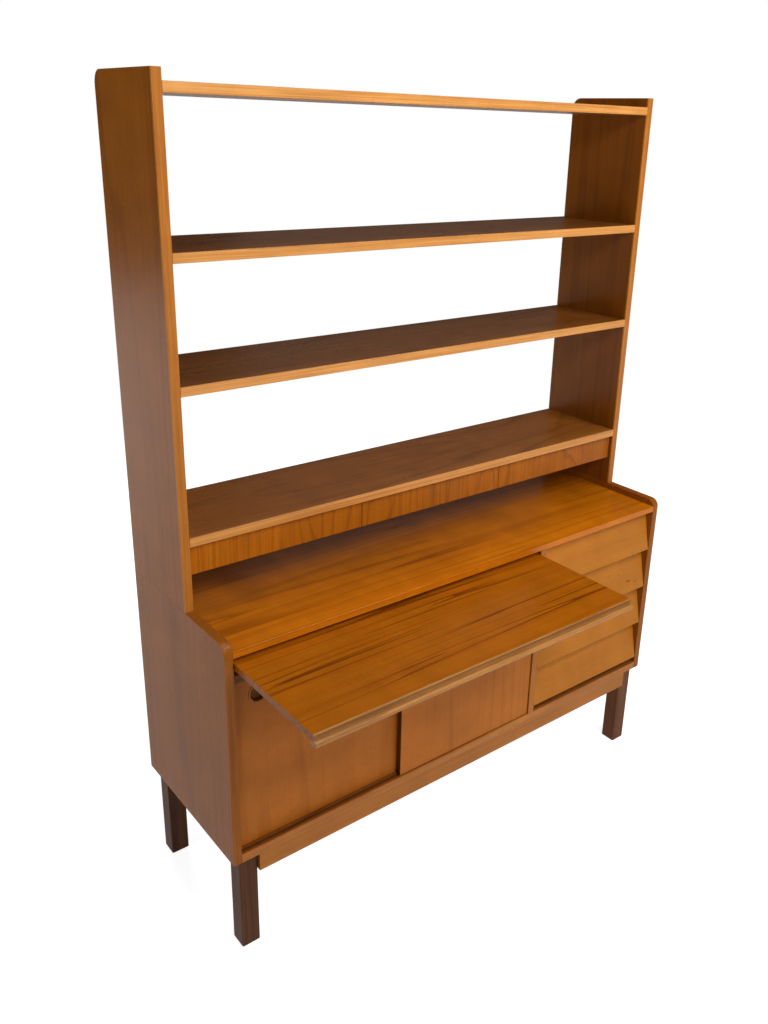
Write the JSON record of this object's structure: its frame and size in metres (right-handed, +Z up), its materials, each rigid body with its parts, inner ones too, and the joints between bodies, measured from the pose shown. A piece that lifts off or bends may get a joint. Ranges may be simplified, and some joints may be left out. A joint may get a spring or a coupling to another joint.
{
  "type": "secretary desk",
  "caption": "Teak bookcase-secretary: open shelves over small letter drawers, a pull-out writing slide, sliding doors and louvre-fronted drawers on square dark legs.",
  "frame": {"origin": "centre of the floor area covered with the writing slide drawn out (bounding box bottom centre)", "axes": "+Z up; +Y from the front towards the back (shortest extent); +X to the right as seen from the front"},
  "size_m": [1.25, 0.667, 1.7],
  "materials": {
    "teak_panel": "oiled teak veneer, upright grain, soft sheen",
    "teak_board": "oiled teak veneer, lengthwise grain with dark streaks, light solid front lipping, polished top",
    "teak_front": "oiled teak veneer, satin",
    "teak_solid": "solid teak, satin",
    "walnut_stained": "dark stained hardwood, satin",
    "beech": "planed beech, raw",
    "plywood": "thin plywood, raw",
    "steel": "zinc-plated steel",
    "brass": "plain brass"
  },
  "bodies": {
    "carcass": {"lower_side_left": "teak_panel", "lower_side_right": "teak_panel", "upper_side_left": "teak_panel", "upper_side_right": "teak_panel", "partition": "teak_panel", "bottom_panel": "teak_panel", "top_board": "teak_board", "upper_shelf": "teak_board", "middle_shelf": "teak_board", "lower_shelf": "teak_board", "worktop": "teak_board", "slide_deck": "teak_board", "front_rail": "teak_board", "cupboard_shelf": "teak_board", "front_left_leg": "walnut_stained", "front_right_leg": "walnut_stained", "rear_left_leg": "walnut_stained", "rear_right_leg": "walnut_stained", "dowels": "beech", "rear_rail": "beech", "side_rails": "beech", "corner_blocks": "beech", "writing_slide_battens": "beech", "drawer_runners": "beech", "letter_case_floor": "beech", "letter_case_dividers": "beech", "lower_back_panel": "plywood", "letter_case_back": "plywood", "wood_screws": "steel", "shelf_pins": "brass"},
    "writing_slide": {"writing_slide_board": "teak_board", "writing_slide_nosing": "teak_solid", "slide_stop_batten": "beech"},
    "door_leaf_left": {"left_door": "teak_front", "left_door_pull": "teak_solid"},
    "door_leaf_right": {"right_door": "teak_front", "right_door_pull": "teak_solid"},
    "drawer_1": {"drawer_1_front": "teak_front", "drawer_1_sides": "beech", "drawer_1_back": "beech", "drawer_1_bottom": "plywood"},
    "drawer_2": {"drawer_2_front": "teak_front", "drawer_2_sides": "beech", "drawer_2_back": "beech", "drawer_2_bottom": "plywood"},
    "drawer_3": {"drawer_3_front": "teak_front", "drawer_3_sides": "beech", "drawer_3_back": "beech", "drawer_3_bottom": "plywood"},
    "drawer_4": {"drawer_4_front": "teak_front", "drawer_4_sides": "beech", "drawer_4_back": "beech", "drawer_4_bottom": "plywood"},
    "letter_drawer_1": {"letter_drawer_1_front": "teak_front", "letter_drawer_1_box": "beech"},
    "letter_drawer_2": {"letter_drawer_2_front": "teak_front", "letter_drawer_2_box": "beech"},
    "letter_drawer_3": {"letter_drawer_3_front": "teak_front", "letter_drawer_3_box": "beech"}
  },
  "joints": [
    {"name": "writing_slide_travel", "type": "slide", "parent": "carcass", "child": "writing_slide", "axis": [0, 1, 0], "range_m": [0, 0.267]},
    {"name": "left_door_travel", "type": "slide", "parent": "carcass", "child": "door_leaf_left", "axis": [1, 0, 0], "range_m": [0, 0.385]},
    {"name": "right_door_travel", "type": "slide", "parent": "carcass", "child": "door_leaf_right", "axis": [-1, 0, 0], "range_m": [0, 0.385]},
    {"name": "drawer_1_travel", "type": "slide", "parent": "carcass", "child": "drawer_1", "axis": [0, -1, 0], "range_m": [0, 0.25]},
    {"name": "drawer_2_travel", "type": "slide", "parent": "carcass", "child": "drawer_2", "axis": [0, -1, 0], "range_m": [0, 0.25]},
    {"name": "drawer_3_travel", "type": "slide", "parent": "carcass", "child": "drawer_3", "axis": [0, -1, 0], "range_m": [0, 0.25]},
    {"name": "drawer_4_travel", "type": "slide", "parent": "carcass", "child": "drawer_4", "axis": [0, -1, 0], "range_m": [0, 0.25]},
    {"name": "letter_drawer_1_travel", "type": "slide", "parent": "carcass", "child": "letter_drawer_1", "axis": [0, -1, 0], "range_m": [0, 0.15]},
    {"name": "letter_drawer_2_travel", "type": "slide", "parent": "carcass", "child": "letter_drawer_2", "axis": [0, -1, 0], "range_m": [0, 0.15]},
    {"name": "letter_drawer_3_travel", "type": "slide", "parent": "carcass", "child": "letter_drawer_3", "axis": [0, -1, 0], "range_m": [0, 0.15]}
  ]
}
